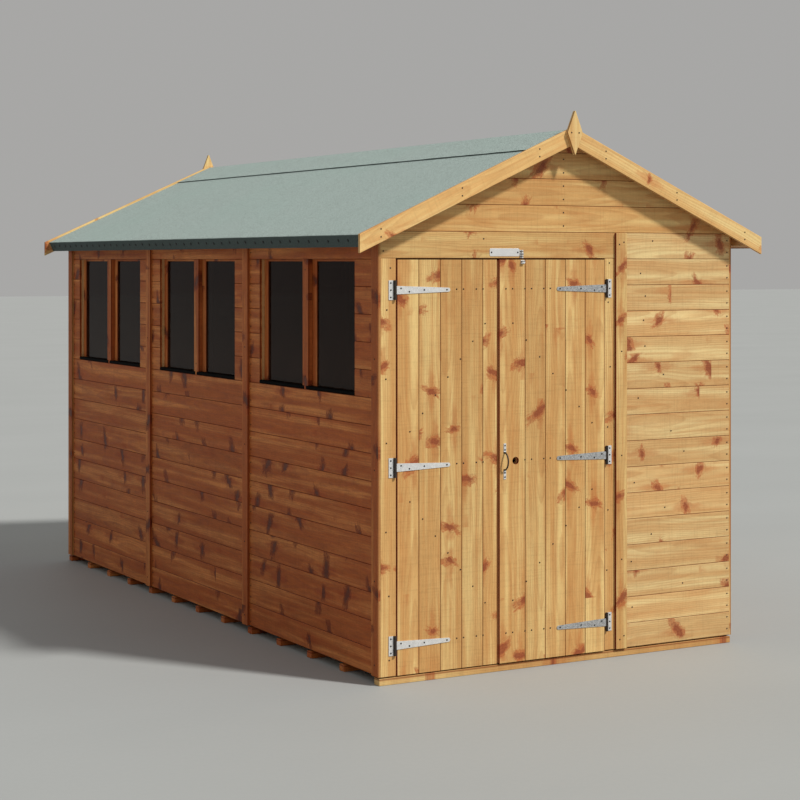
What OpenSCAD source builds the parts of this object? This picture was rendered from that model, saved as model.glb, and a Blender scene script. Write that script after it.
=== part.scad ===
// Timber garden shed with an apex roof, a pair of boarded doors and a row of side windows.
// Millimetres. Origin: middle of the footprint at floor-bearer level. Doors face -Y, +Z is up.

/* [Body] */
// Width over the side wall boarding
body_w = 1790; // [1500:10:2600]
// Length over the end wall boarding
body_l = 3707; // [3707:10:4600]
// Height of the wall panels' top edge above the ground
wall_top = 1840; // [1760:5:2100]
// Cover of one horizontal wall board
course = 113.4; // [100:0.2:114]
// Thickness of the wall boarding
board_t = 12; // [8:1:20]
// Depth of the wall framing behind the boarding
frame_d = 30; // [25:1:50]
// Width of a wall stud or rail
stud_w = 28; // [20:1:50]
// Height of the end walls' top rail
end_rail_h = 44; // [30:1:60]

/* [Floor] */
// Number of floor bearers
bearers = 13; // [7:1:17]
// Width of a floor bearer
bearer_w = 44; // [30:1:60]
// Height of a floor bearer
bearer_h = 28; // [20:1:60]
// Bearer ends out from the side wall face
bearer_out = 6; // [0:1:12]
// Thickness of the floor boards
floor_t = 12; // [9:1:20]
// How far the wall boarding laps down over the floor edge
wall_lap = 6; // [2:1:8]
// Gap between the wall boarding's inner face and the floor edge
floor_inset = 6; // [5:1:15]

/* [Side bays] */
// Spacing of the side wall panels
bay = 1200; // [1000:10:1200]
// Front wall face to the first side panel
bay_start = 86; // [50:1:107]
// Width of a window opening
window_w = 926; // [500:2:940]
// Wall boards that a window opening spans
window_rows = 5; // [3:1:8]
// Setback of the window frame behind the wall face
window_setback = 24; // [16:1:28]
// Depth of the window frame
sash_d = 14; // [10:1:18]
// Width of a window frame's uprights
sash_w = 40; // [20:1:50]
// Height of a window frame's rails
sash_h = 10; // [8:1:45]
// Width of the window's middle bar
mullion_w = 54; // [30:1:80]
// Thickness of a window pane
glass_t = 4; // [3:0.5:6]
// Height of the black drip bead under a pane
bead_h = 16; // [8:1:22]
// Gap between the two drip beads of a window
bead_gap = 24; // [10:1:40]

/* [Trims] */
// Thickness of the cover strips and corner trims
trim_t = 12; // [8:1:20]
// Width of a cover strip over a panel joint
strip_w = 58; // [40:1:80]
// Width of the wide front and rear panels, from the corner trim's face
wide_panel = 1200; // [1180:5:1250]

/* [Roof] */
// Roof slope
pitch = 24.2; // [18:0.1:32]
// Rise of the roof's underside above the wall panels at the wall face
roof_seat = 17.8; // [10:0.1:40]
// Thickness of the roof boards
deck_t = 11; // [8:1:20]
// Thickness of the roof felt
felt_t = 3; // [2:0.5:5]
// Felt's top corner at the eaves beyond the wall face
eave_out = 107; // [80:1:160]
// Depth of the rail under the roof boards' eave edge
eave_rail_h = 42; // [25:1:60]
// Width of the ridge capping strip down each slope
cap_w = 220; // [120:5:300]
// Purlin height
purlin_h = 44; // [30:1:80]

/* [Barge boards] */
// Barge board thickness
barge_t = 14; // [10:1:22]
// Barge board height, measured upright
barge_h = 77; // [50:1:110]
// Barge board rise above the felt, measured upright
barge_up = 12; // [4:1:25]
// Front face of the end walls to the back of the barge boards
verge_out = 54; // [40:1:90]
// Barge board ends beyond the felt's top corner
barge_end = 25; // [10:1:50]
// Finial width
finial_w = 76; // [60:1:110]
// Finial height
finial_h = 186; // [140:1:240]
// Finial thickness
finial_t = 16; // [10:1:24]
// Finial centre below the barge boards' apex
finial_drop = 26; // [0:1:60]

/* [Doors] */
// Outer corner trim face to the door opening
door_margin = 83; // [75:1:110]
// Clear gap around a door leaf
door_gap = 5; // [5:0.5:8]
// Width of the left leaf
left_leaf_w = 481; // [380:1:481]
// How far the right leaf stands proud of the left one
leaf_step = 8; // [0:1:10]
// Thickness of the door boarding
leaf_t = 12; // [9:1:20]
// Top of the door leaves above the ground
door_top = 1724; // [1600:2:1740]
// Height of a door ledge
ledge_h = 70; // [50:1:100]
// Thickness of the ledges and braces
ledge_t = 20; // [15:1:30]
// Ledge ends in from the leaf's edge
ledge_in = 28; // [28:1:60]
// Middle heights of the three hinges and ledges
hinge_z = [157, 879, 1600];

/* [Hardware] */
// Hinge knuckle radius
knuckle_r = 6; // [4:0.5:8]
// Hinge pin radius
pin_r = 2.5; // [2:0.1:3]
// Hinge axis out from the leaf's edge
hinge_out = 11.5; // [11:0.5:14]
// Hinge plate height
plate_h = 80; // [60:1:100]
// Hinge plate width beside the knuckle
plate_w = 22; // [18:1:40]
// Thickness of the hinge plates and straps
metal_t = 2.5; // [1.5:0.1:4]
// Strap length from the hinge axis to its tip
strap_l = 262; // [200:1:320]
// Strap height at the knuckle
strap_h = 34; // [26:1:40]
// Strap height at its tip
strap_tip = 17; // [12:1:24]
// Handle length
handle_l = 150; // [120:1:200]
// Handle bow depth
handle_rise = 25; // [20:1:35]
// Handle bar radius
handle_r = 3.2; // [2.5:0.1:5]
// Handle middle in from the right leaf's free edge
handle_in = 27; // [20:1:60]
// Finger hole radius
hole_r = 13; // [8:0.5:20]
// Finger hole in from the right leaf's free edge
hole_in = 81; // [60:1:120]
// Name plate length
nameplate_l = 148; // [100:1:200]
// Name plate height
nameplate_h = 33; // [20:1:50]
// Name plate thickness
nameplate_t = 1.5; // [1:0.1:3]
// Name plate's end in from the left leaf's free edge
nameplate_in = 38; // [20:1:60]
// Name plate above the doorway's top
nameplate_up = 9; // [4:1:20]
// Width of the top bolt's plate and keep
bolt_w = 18; // [14:1:30]
// Height of the top bolt's plate
bolt_h = 34; // [24:1:50]
// Radius of the top bolt's rod
bolt_r = 4; // [2.5:0.5:5]
// Height of the bolt keep
keep_h = 16; // [10:1:30]

/* [Hidden] */
$fn = 48;

eps = 0.2;                       // running joint between neighbouring timbers
half_w = body_w / 2;             // side wall face
half_l = body_l / 2;             // end wall face
front = -half_l;
inner_w = half_w - board_t;      // inner face of the side boarding
inner_l = half_l - board_t;      // inner face of the end boarding
room_w = inner_w - frame_d;      // inner face of the side framing
room_l = inner_l - frame_d;      // inner face of the end framing
floor_top = bearer_h + floor_t;
wall_base = floor_top - wall_lap;
rail_z = floor_top;              // framing stands on the floor
rail_top = floor_top + stud_w;
head_z = wall_top - end_rail_h;  // underside of the end walls' top rail

// Roof planes: t is measured square to the slope from the roof boards' underside
roof_under = wall_top + roof_seat + half_w * tan(pitch);   // ridge height of that underside
function plane_z(x, t) = roof_under + t / cos(pitch) - x * tan(pitch);
function slope_x(s, t) = s * cos(pitch) + t * sin(pitch);
function slope_z(s, t) = roof_under - s * sin(pitch) + t * cos(pitch);
roof_t = deck_t + felt_t;
bed = 0.1;                       // bedding gap between the roof's layers
eave_x = half_w + eave_out;
felt_end = (eave_x - roof_t * sin(pitch)) / cos(pitch);    // slope length to the felt's end
deck_end = felt_end - felt_t;
ridge_gap = 1;                   // half the joint along the ridge
verge_y = half_l + verge_out;    // back face of the barge boards
barge_x = eave_x + barge_end;
barge_apex = plane_z(0, roof_t) + barge_up;
finial_z = barge_apex - finial_drop;

// Windows
window_top = wall_top - course;
window_base = wall_top - (1 + window_rows) * course;
seam_1 = front + bay_start + bay;
seams = [seam_1, seam_1 + bay];
window_y = [for (k = [0:2]) seam_1 + (k - 0.5) * bay];
mullion_in = 2;                  // mullion's face behind the wall face
upper_z = plane_z(half_w, 0) - eps;                        // top of the side boarding

// Door opening
left_x = -half_w - trim_t + door_margin;
panel_x = -half_w - trim_t + wide_panel;                   // joint between the front panels
right_x = panel_x - (door_margin - 1);
header_z = door_top + door_gap;
leaf_base = wall_base;
left_leaf = [left_x + door_gap, left_x + door_gap + left_leaf_w];
right_leaf = [left_leaf[1] + door_gap, right_x - door_gap];
left_axis = [left_leaf[0] - hinge_out, front - knuckle_r - 1];
right_axis = [right_leaf[1] + hinge_out, front - leaf_step];
pin_clear = 0.3;                 // between a hinge pin and the strap's knuckle
knuckle_gap = 0.5;               // between a hinge's neighbouring knuckles

// ---- helpers ----

module box(x, y, z) {
  translate([x[0], y[0], z[0]]) cube([x[1] - x[0], y[1] - y[0], z[1] - z[0]]);
}

// Upright profile in X and Z, given a thickness along Y
module profile(y, points) {
  translate([0, y[1], 0]) rotate([90, 0, 0]) linear_extrude(y[1] - y[0]) polygon(points);
}

module both_sides() {
  children();
  mirror([1, 0, 0]) children();
}

module both_ends() {
  children();
  mirror([0, 1, 0]) children();
}

// Layer of the right roof slope between two offsets, cut square at the eaves
module slope_layer(y, t, from, to, gap = ridge_gap) {
  start = from == 0;
  profile(y, [
    start ? [gap, plane_z(gap, t[0])] : [slope_x(from, t[0]), slope_z(from, t[0])],
    [slope_x(to, t[0]), slope_z(to, t[0])],
    [slope_x(to, t[1]), slope_z(to, t[1])],
    start ? [gap, plane_z(gap, t[1])] : [slope_x(from, t[1]), slope_z(from, t[1])]
  ]);
}

// ---- floor ----

module floor_bearers() {
  color("peru")
  for (k = [0:bearers - 1]) {
    y = front + k * (body_l - bearer_w) / (bearers - 1);
    box([-half_w - bearer_out, half_w + bearer_out], [y, y + bearer_w], [0, bearer_h]);
  }
}

module floor_boards() {
  edge = board_t + floor_inset;
  color("burlywood")
  box([-half_w + edge, half_w - edge], [front + edge, half_l - edge], [bearer_h, floor_top]);
}

// ---- end walls ----

module front_door_jambs() {
  color("sandybrown") {
    box([-half_w, left_x], [front, front + board_t], [wall_base, header_z]);
    box([right_x, panel_x], [front, front + board_t], [wall_base, header_z]);
  }
}

module front_door_header() {
  color("sandybrown")
  box([-half_w, panel_x], [front, front + board_t], [header_z, wall_top]);
}

module front_panel() {
  color("sandybrown")
  box([panel_x, half_w], [front, front + board_t], [wall_base, wall_top]);
}

module gable(y) {
  profile(y, [
    [-half_w, wall_top], [half_w, wall_top], [half_w, plane_z(half_w, 0) - eps],
    [0, roof_under - eps], [-half_w, plane_z(half_w, 0) - eps]
  ]);
}

module front_gable() {
  color("sandybrown") gable([front, front + board_t]);
}

module rear_gable() {
  color("sandybrown") gable([inner_l, half_l]);
}

module rear_wall() {
  color("sandybrown")
  box([-half_w, half_w], [inner_l, half_l], [wall_base, wall_top]);
}

// ---- side walls ----

module left_side_boards(y, z) {
  box([-half_w, -inner_w], y, z);
}

module left_wall_lower() {
  color("sienna") left_side_boards([-inner_l, inner_l], [wall_base, window_base]);
}

module left_wall_upper() {
  color("sienna") left_side_boards([-inner_l, inner_l], [window_top, upper_z]);
}

module left_wall_piers() {
  half = window_w / 2;
  edges = concat([-inner_l], [for (y = window_y) each [y - half, y + half]], [inner_l]);
  color("sienna")
  for (k = [0:3]) left_side_boards([edges[2 * k], edges[2 * k + 1]], [window_base, window_top]);
}

module right_wall() {
  color("sienna") box([inner_w, half_w], [-inner_l, inner_l], [wall_base, upper_z]);
}

// ---- trims ----

module cover_strips() {
  x = [panel_x - strip_w / 2, panel_x + strip_w / 2];
  top = plane_z(half_w + trim_t, 0) - eps;
  color("tan") {
    both_ends() box(x, [front - trim_t, front], [wall_base, wall_top]);
    both_sides() for (y = seams)
      box([half_w, half_w + trim_t], [y - strip_w / 2, y + strip_w / 2], [wall_base, top]);
  }
}

module corner_trims() {
  top = plane_z(half_w + trim_t, 0) - eps;
  color("peru") both_ends() both_sides()
  box([half_w, half_w + trim_t], [front, front + strip_w], [wall_base, top]);
}

// ---- windows ----

sash_x = [-half_w + window_setback, -half_w + window_setback + sash_d];
sash_y = [mullion_w / 2 + sash_w, window_w / 2 - sash_w];  // clear pane out from the window's middle

module window_stiles() {
  color("saddlebrown")
  for (y = window_y) {
    box(sash_x, [y - window_w / 2, y - sash_y[1]], [window_base, window_top]);
    box(sash_x, [y - sash_y[0], y + sash_y[0]], [window_base, window_top]);
    box(sash_x, [y + sash_y[1], y + window_w / 2], [window_base, window_top]);
  }
}

// Bar between a window's panes, notched at its foot for the drip beads
module window_mullions() {
  x = [-half_w + mullion_in, sash_x[0]];
  color("sienna")
  for (y = window_y) {
    box(x, [y - mullion_w / 2, y + mullion_w / 2], [window_base + bead_h, window_top]);
    box(x, [y - bead_gap / 2, y + bead_gap / 2], [window_base, window_base + bead_h + 1]);
  }
}

// Runs its children once for each pane, with $pane as its reach along Y
module each_pane(lo, hi) {
  for (y = window_y) {
    $pane = [y - hi, y - lo];
    children();
  }
  for (y = window_y) {
    $pane = [y + lo, y + hi];
    children();
  }
}

module window_rails() {
  color("saddlebrown") each_pane(sash_y[0], sash_y[1]) {
    box(sash_x, $pane, [window_base, window_base + sash_h]);
    box(sash_x, $pane, [window_top - sash_h, window_top]);
  }
}

module window_beads() {
  color("black") each_pane(bead_gap / 2, window_w / 2)
  box([-half_w - 1, sash_x[0]], $pane, [window_base, window_base + bead_h]);
}

module window_glass() {
  mid = (sash_x[0] + sash_x[1]) / 2;
  color("darkslategray") each_pane(sash_y[0], sash_y[1])
  box([mid - glass_t / 2, mid + glass_t / 2], $pane, [window_base + sash_h, window_top - sash_h]);
}

// ---- framing ----

// Upright in a side wall's framing
module side_stud(y, w = stud_w) {
  box([room_w, inner_w], [y - w / 2, y + w / 2], [rail_top, wall_top - stud_w]);
}

module wall_studs() {
  corner = room_l - stud_w / 2;
  jamb = (window_w + stud_w) / 2;
  color("wheat") {
    both_sides() {
      side_stud(-corner);
      side_stud(corner);
      for (y = seams) side_stud(y, 2 * stud_w);
    }
    mirror([1, 0, 0])
    for (y = window_y, side = [-1, 1]) side_stud(y + side * jamb);
    for (y = window_y) side_stud(y);
    box([-inner_w, left_x], [-inner_l, -room_l], [floor_top, head_z]);
    box([right_x, panel_x + stud_w], [-inner_l, -room_l], [floor_top, head_z]);
    box([inner_w - stud_w, inner_w], [-inner_l, -room_l], [floor_top, head_z]);
    for (x = [-inner_w, -stud_w / 2, panel_x - stud_w, inner_w - stud_w])
      box([x, x + stud_w], [room_l, inner_l], [rail_top, head_z]);
  }
}

module side_wall_rails() {
  y = [-room_l, room_l];
  half = window_w / 2;
  color("wheat") {
    both_sides() {
      box([room_w, inner_w], y, [rail_z, rail_top]);
      box([room_w, inner_w], y, [wall_top - stud_w, plane_z(inner_w, 0) - eps]);
    }
    for (k = window_y) {
      box([-inner_w, -room_w], [k - half, k + half], [window_base - stud_w, window_base]);
      box([-inner_w, -room_w], [k - half, k + half], [window_top, window_top + stud_w]);
    }
  }
}

module end_wall_rails() {
  color("wheat") {
    both_ends() box([-inner_w, inner_w], [-inner_l, -room_l], [head_z, wall_top]);
    box([left_x, right_x], [-inner_l, -room_l], [header_z, head_z - eps]);
    box([panel_x + stud_w, inner_w - stud_w], [-inner_l, -room_l], [rail_z, rail_top]);
    box([-inner_w, inner_w], [room_l, inner_l], [rail_z, rail_top]);
  }
}

// ---- roof ----

module roof_boards() {
  color("burlywood") both_sides()
  slope_layer([-verge_y, verge_y], [0, deck_t], 0, deck_end);
}

module roof_felt() {
  color("darkseagreen") both_sides()
  slope_layer([-verge_y, verge_y], [deck_t + bed, roof_t], 0, felt_end);
}

module ridge_cap() {
  color("darkseagreen") both_sides()
  slope_layer([-verge_y, verge_y], [roof_t + bed, roof_t + bed + felt_t], 0, cap_w, 0);
}

module eave_felt() {
  color("darkslategray") both_sides()
  slope_layer([-verge_y, verge_y], [-eave_rail_h, deck_t], deck_end + bed, felt_end);
}

module eave_rails() {
  color("peru") both_sides()
  slope_layer([-verge_y, verge_y], [-eave_rail_h, -bed], deck_end - stud_w, deck_end);
}

module roof_purlins() {
  mid = deck_end / 2;
  y = [-inner_l, inner_l];
  ridge_top = plane_z(stud_w / 2, 0) - eps;
  color("burlywood") {
    both_sides() slope_layer(y, [-purlin_h, -bed], mid - stud_w / 2, mid + stud_w / 2);
    box([-stud_w / 2, stud_w / 2], y, [ridge_top - purlin_h, ridge_top]);
  }
}

module barge_boards() {
  top = barge_apex;
  drop = barge_x * tan(pitch);
  lean = ridge_gap * tan(pitch);
  color("khaki") both_sides()
  profile([-verge_y - barge_t, -verge_y], [
    [ridge_gap, top - lean], [barge_x, top - drop],
    [barge_x, top - drop - barge_h], [ridge_gap, top - lean - barge_h]
  ]);
}

module front_barge_boards() {
  barge_boards();
}

module rear_barge_boards() {
  mirror([0, 1, 0]) barge_boards();
}

// Upright diamond with slightly blunt points
module finial() {
  hw = finial_w / 2;
  hh = finial_h / 2;
  tip = 2;
  y = -verge_y - barge_t;
  color("khaki")
  translate([0, 0, finial_z]) profile([y - finial_t, y], [
    [-hw, tip], [-tip, hh], [tip, hh], [hw, tip],
    [hw, -tip], [tip, -hh], [-tip, -hh], [-hw, -tip]
  ]);
}

module front_finial() {
  finial();
}

module rear_finial() {
  mirror([0, 1, 0]) finial();
}

// ---- doors ----

// Faces of each leaf's boarding
left_back = front + leaf_t;
right_face = front - leaf_step;
right_back = right_face + leaf_t;

module left_door_boards() {
  color("sandybrown") box(left_leaf, [front, left_back], [leaf_base, door_top]);
}

module right_door_boards() {
  color("sandybrown") difference() {
    box(right_leaf, [right_face, right_back], [leaf_base, door_top]);
    translate([right_leaf[0] + hole_in, right_back + 1, hinge_z[1]])
      rotate([90, 0, 0]) cylinder(r = hole_r, h = leaf_t + 2);
  }
}

module door_ledges(leaf, back) {
  color("burlywood")
  for (z = hinge_z)
    box([leaf[0] + ledge_in, leaf[1] - ledge_in], [back, back + ledge_t], [z - ledge_h / 2, z + ledge_h / 2]);
}

// Braces run from the free edge at top and bottom to the hinge edge at the middle ledge
module door_braces(hinge_x, free_x, back) {
  dir = sign(hinge_x - free_x);
  h = hinge_x - dir * ledge_in;
  f = free_x + dir * ledge_in;
  half = ledge_h / 2;
  color("burlywood")
  for (k = [0, 2]) {
    up = k - 1;
    z_free = hinge_z[k] - up * half;
    z_mid = hinge_z[1] + up * half;
    profile([back, back + ledge_t], [
      [f, z_free], [f + dir * ledge_h, z_free], [h, z_mid], [h - dir * ledge_h, z_mid]
    ]);
  }
}

module left_door_ledges() {
  door_ledges(left_leaf, left_back);
}

module right_door_ledges() {
  door_ledges(right_leaf, right_back);
}

module left_door_braces() {
  door_braces(left_leaf[0], left_leaf[1], left_back);
}

module right_door_braces() {
  door_braces(right_leaf[1], right_leaf[0], right_back);
}

// ---- hardware ----

third = (plate_h - 2 * knuckle_gap) / 3;     // height of one knuckle

// Fixed half: a plate on the jamb, its upper and lower knuckles and the pin
module hinge_plate(axis, side) {
  x0 = axis[0] - side * (knuckle_r + plate_w);
  x1 = axis[0] - side * knuckle_r;
  for (z = hinge_z) {
    difference() {
      union() {
        box([min(x0, x1), max(x0, x1)], [front - metal_t, front], [z - plate_h / 2, z + plate_h / 2]);
        box([min(x1, axis[0]), max(x1, axis[0])], [axis[1], front], [z - plate_h / 2, z + plate_h / 2]);
        for (k = [-1, 1])
          translate([axis[0], axis[1], z + k * (plate_h - third) / 2])
            cylinder(r = knuckle_r, h = third, center = true);
      }
      translate([axis[0], axis[1], z])
        cylinder(r = knuckle_r + knuckle_gap, h = third + 2 * knuckle_gap, center = true);
    }
    translate([axis[0], axis[1], z]) cylinder(r = pin_r, h = plate_h, center = true);
  }
}

module hinge_plates() {
  color("silver") {
    hinge_plate(left_axis, 1);
    hinge_plate(right_axis, -1);
  }
}

// Moving half: a tapered strap with a round tip and the middle knuckle
module hinge_strap(axis, side, face) {
  tip_r = strap_tip / 2;
  for (z = hinge_z)
    translate([axis[0], 0, z]) difference() {
      union() {
        translate([0, face, 0]) rotate([90, 0, 0]) linear_extrude(metal_t) {
          polygon([[0, -third / 2], [0, third / 2], [side * hinge_out, strap_h / 2],
                   [side * (strap_l - tip_r), tip_r], [side * (strap_l - tip_r), -tip_r],
                   [side * hinge_out, -strap_h / 2]]);
          translate([side * (strap_l - tip_r), 0]) circle(tip_r);
        }
        translate([0, axis[1], 0]) cylinder(r = knuckle_r, h = third, center = true);
      }
      translate([0, axis[1], 0]) cylinder(r = pin_r + pin_clear, h = third + 2, center = true);
      box([-hinge_out + 1, hinge_out - 1], [front - 1, front + 1], [-strap_h, strap_h]);
      for (k = [-1, 1])
        translate([0, axis[1], k * (third + plate_h) / 2])
          cylinder(r = knuckle_r + knuckle_gap, h = plate_h, center = true);
    }
}

module left_hinge_straps() {
  color("gainsboro") hinge_strap(left_axis, 1, front);
}

module right_hinge_straps() {
  color("gainsboro") hinge_strap(right_axis, -1, right_face);
}

// Bow handle with a flat fixing tab at each end
module door_handle() {
  tab = 38;                      // length of each fixing tab
  tab_w = 12;
  tab_t = 2;
  lap = 4;                       // how far a tab runs in under the bow
  foot = handle_l / 2 - tab;     // half the distance between the bow's feet
  r = (foot * foot + handle_rise * handle_rise) / (2 * handle_rise);
  sweep = asin(foot / r) + 8;
  color("dimgray")
  translate([right_leaf[0] + handle_in, right_face, hinge_z[1]]) {
    intersection() {
      translate([0, r - handle_rise - handle_r, 0]) rotate([0, -90, 0]) rotate([0, 0, -90 - sweep])
        rotate_extrude(angle = 2 * sweep) translate([r, 0]) circle(handle_r);
      box([-tab_w, tab_w], [-2 * handle_rise, 0], [-handle_l, handle_l]);
    }
    for (k = [-1, 1])
      translate([0, 0, k * (foot + (tab - lap) / 2)])
        box([-tab_w / 2, tab_w / 2], [-tab_t, 0], [-(tab + lap) / 2, (tab + lap) / 2]);
  }
}

nameplate_x = left_leaf[1] - nameplate_in;

module name_plate() {
  z = header_z + nameplate_up;
  color("lightgray")
  box([nameplate_x, nameplate_x + nameplate_l], [front - nameplate_t, front], [z, z + nameplate_h]);
}

bolt_x = nameplate_x + nameplate_l + 1;
bolt_mid = bolt_x + bolt_w / 2;
bolt_t = 2;                      // thickness of the bolt's plate and the keep's
bolt_up = 2;                     // above the doorway's top

// Small bolt above the doors, drawn up clear of its keep
module top_bolt() {
  z = [header_z + bolt_up, header_z + bolt_up + bolt_h];
  y = front - bolt_r - 1;        // rod's axis
  knob_r = 3;
  knob_l = 10;
  color("silver") {
    box([bolt_x, bolt_x + bolt_w], [front - bolt_t, front], z);
    translate([bolt_mid, y, z[0]]) cylinder(r = bolt_r, h = bolt_h);
    translate([bolt_mid, y, (z[0] + z[1]) / 2]) rotate([90, 0, 0]) cylinder(r = knob_r, h = knob_l);
  }
}

// Keep of that bolt on the right leaf's top edge
module bolt_keep() {
  z = [door_top - bolt_up - keep_h, door_top - bolt_up];
  loop_w = 14;
  loop_d = 9;
  rim = 3;                       // plate above and below the loop
  bore_r = 3.6;
  color("silver") difference() {
    union() {
      box([bolt_x, bolt_x + bolt_w], [right_face - bolt_t, right_face], z);
      box([bolt_mid - loop_w / 2, bolt_mid + loop_w / 2], [right_face - bolt_t - loop_d, right_face - bolt_t],
          [z[0] + rim, z[1] - rim]);
    }
    translate([bolt_mid, right_face - bolt_t - bore_r - 0.4, z[0] - 1]) cylinder(r = bore_r, h = keep_h + 2);
  }
}

floor_bearers();
floor_boards();
front_door_jambs();
front_door_header();
front_panel();
front_gable();
rear_wall();
rear_gable();
left_wall_lower();
left_wall_upper();
left_wall_piers();
right_wall();
cover_strips();
corner_trims();
window_stiles();
window_rails();
window_mullions();
window_beads();
window_glass();
wall_studs();
side_wall_rails();
end_wall_rails();
roof_boards();
roof_felt();
ridge_cap();
eave_felt();
eave_rails();
roof_purlins();
front_barge_boards();
rear_barge_boards();
front_finial();
rear_finial();
name_plate();
hinge_plates();
top_bolt();
left_door_boards();
left_door_ledges();
left_door_braces();
left_hinge_straps();
right_door_boards();
right_door_ledges();
right_door_braces();
right_hinge_straps();
door_handle();
bolt_keep();
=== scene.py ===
"""Looks of a timber garden shed: boards, trims, felt, windows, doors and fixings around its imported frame.

Metres, in the frame's own axes: doors face -Y, +X is right, +Z is up, and the floor bearers stand on Z 0.
"""

import math
import random

import bmesh
import bpy
from bpy.props import FloatProperty, FloatVectorProperty, IntProperty, PointerProperty
from bpy.types import Operator, Panel, PropertyGroup
from mathutils import Matrix, Vector


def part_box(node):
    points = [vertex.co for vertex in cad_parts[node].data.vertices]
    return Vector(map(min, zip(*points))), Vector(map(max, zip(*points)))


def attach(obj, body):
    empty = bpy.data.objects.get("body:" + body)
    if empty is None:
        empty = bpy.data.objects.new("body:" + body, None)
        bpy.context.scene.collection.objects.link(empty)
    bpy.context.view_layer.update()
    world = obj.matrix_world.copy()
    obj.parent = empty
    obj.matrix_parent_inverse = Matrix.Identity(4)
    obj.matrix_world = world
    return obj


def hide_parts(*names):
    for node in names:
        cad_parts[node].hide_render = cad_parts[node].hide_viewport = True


bl_info = {
    "name": "Garden Shed",
    "version": (1, 0, 0),
    "blender": (4, 5, 0),
    "location": "3D View > Sidebar > Shed",
    "description": "Boards, felts and fits out a timber garden shed around its frame",
    "category": "Add Mesh",
}

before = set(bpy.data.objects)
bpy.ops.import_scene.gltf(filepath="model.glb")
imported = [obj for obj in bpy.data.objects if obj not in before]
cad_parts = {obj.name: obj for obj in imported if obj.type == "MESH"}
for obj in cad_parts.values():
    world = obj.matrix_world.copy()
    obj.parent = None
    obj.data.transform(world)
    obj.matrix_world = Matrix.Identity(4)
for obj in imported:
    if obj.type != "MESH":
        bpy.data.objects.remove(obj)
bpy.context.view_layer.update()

X, Y, Z = Vector((1, 0, 0)), Vector((0, 1, 0)), Vector((0, 0, 1))

# Sizes that the frame's own parts were made to
DECK = 0.011  # thickness of the roof boards
FELT = 0.003  # thickness of the felt
HINGE_HEIGHTS = (0.157, 0.879, 1.6)
HINGE_METAL = 0.0025  # thickness of the hinges
HANDLE_METAL = 0.002  # thickness of the handle's tabs
HOLE_IN = 0.081  # the finger hole's axis, in from the right leaf's free edge
HOLE_RADIUS = 0.016

SEAM = 0.0005  # gap that keeps two pieces from sharing a face
BOARD_NAIL = 0.0004  # how far a nail head's middle stands off a board
TRIM_NAIL = 0.0002  # the same off a trim
SCREW = 0.0003  # the same for a screw head
NAIL_PAIR = (0.03, 0.083)  # distances of a board's two nails from its joint


# ---- sizes and colours ----

def length(name, description, default):
    return FloatProperty(name=name, description=description, default=default, min=0, precision=4,
                         unit="LENGTH")


def colour(name, description, default):
    return FloatVectorProperty(name=name, description=description, default=default, size=3, min=0, max=1,
                               subtype="COLOR")


class ShedSizes(PropertyGroup):
    """Sizes of the boards, edges and fixings"""

    course: length("Wall board cover", "Height that one horizontal wall board covers", 0.1134)
    door_board: length("Door board cover", "Width that one upright door board covers", 0.1025)
    roof_board: length("Roof board cover", "Width that one roof or floor board covers", 0.1125)
    groove: length("V groove", "Width of the chamfer at each side of a board joint", 0.0024)
    joint: length("Board joint", "Open gap between two boards", 0.0004)
    tongue: length("Tongue", "How far a board's tongue reaches into its neighbour", 0.005)
    eased: length("Eased edge", "Rounding of a trim's edges", 0.0018)
    pitch: FloatProperty(name="Roof slope", description="Angle of the roof", default=math.radians(24.2),
                         subtype="ANGLE")
    nail: length("Nail head", "Radius of a nail head", 0.0032)
    # clout: the dark head is drawn wider than a real head, taking in the painted shadow it casts on the felt
    clout: length("Clout head", "Radius of a felt nail's head", 0.0065)
    screw: length("Screw head", "Radius of a screw head", 0.0034)
    clout_step: length("Clout spacing", "Distance between the felt nails along the eaves", 0.09)
    seed: IntProperty(name="Seed", description="Starts the boards' random grain", default=7)


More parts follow.
